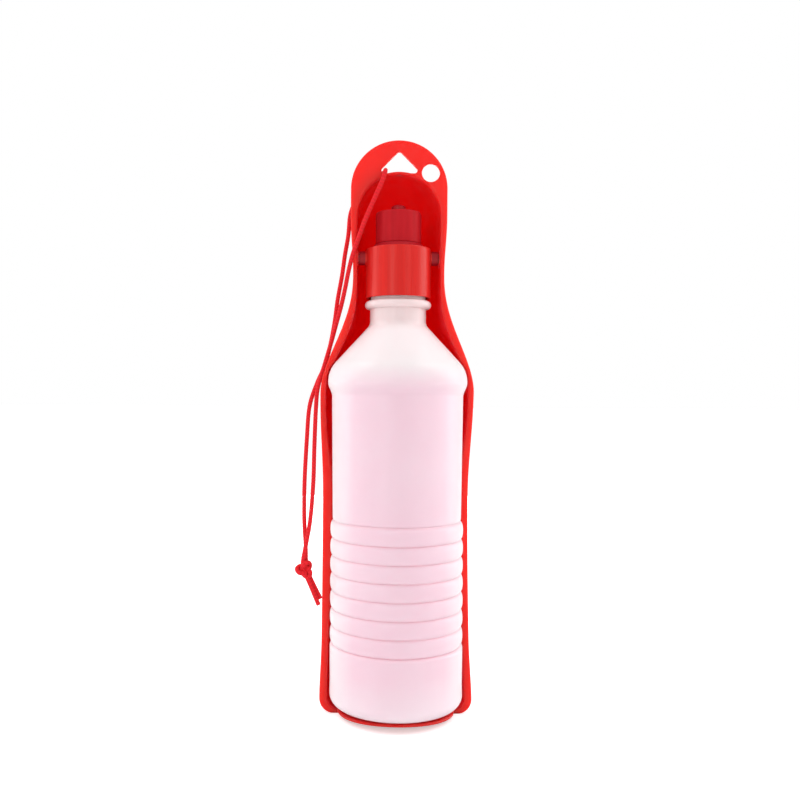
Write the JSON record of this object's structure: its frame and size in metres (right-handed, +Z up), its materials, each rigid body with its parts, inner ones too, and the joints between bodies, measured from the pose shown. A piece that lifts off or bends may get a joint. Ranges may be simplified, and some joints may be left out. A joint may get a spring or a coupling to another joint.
{
  "type": "dog travel water bottle",
  "caption": "Squeeze water bottle that folds into its own drinking trough, with a push-pull spout and a looped carrying cord.",
  "frame": {"origin": "on the ground under the bottle's axis, on the trough's flat foot, just behind its front edge", "axes": "+Z up along the bottle's axis, -Y towards the open front of the trough, +X to the right seen from the front; the trough swings about an axis along X"},
  "size_m": [0.0817, 0.0667, 0.2629],
  "materials": {
    "milky_bottle": "milky translucent soft polyethylene, smooth with a faint satin sheen",
    "tray_red": "bright red moulded polypropylene with a soft gloss",
    "cap_red": "red moulded polypropylene with fine vertical flow marks",
    "spout_red": "deeper red satin polyethylene",
    "liner_white": "soft white foamed liner",
    "cord_red": "fine round braid"
  },
  "bodies": {
    "bottle": {"bottle": "milky_bottle"},
    "cap": {"screw_cap": "cap_red", "cap_liner": "liner_white"},
    "spout": {"spout_sleeve": "spout_red"},
    "trough": {"tray": "tray_red", "cord_front_strand": "cord_red", "cord_back_strand": "cord_red", "cord_knot": "cord_red"}
  },
  "joints": [
    {"name": "cap_turn", "type": "hinge", "parent": "bottle", "child": "cap", "pos_m": [0, 0, 0.2], "axis": [0, 0, 1], "range_deg": [0, 540]},
    {"name": "trough_swing", "type": "hinge", "parent": "cap", "child": "trough", "pos_m": [0, 0, 0.20952], "axis": [1, 0, 0], "range_deg": [0, 135]},
    {"name": "spout_pull", "type": "slide", "parent": "cap", "child": "spout", "axis": [0, 0, 1], "range_m": [0, 0.005]}
  ]
}
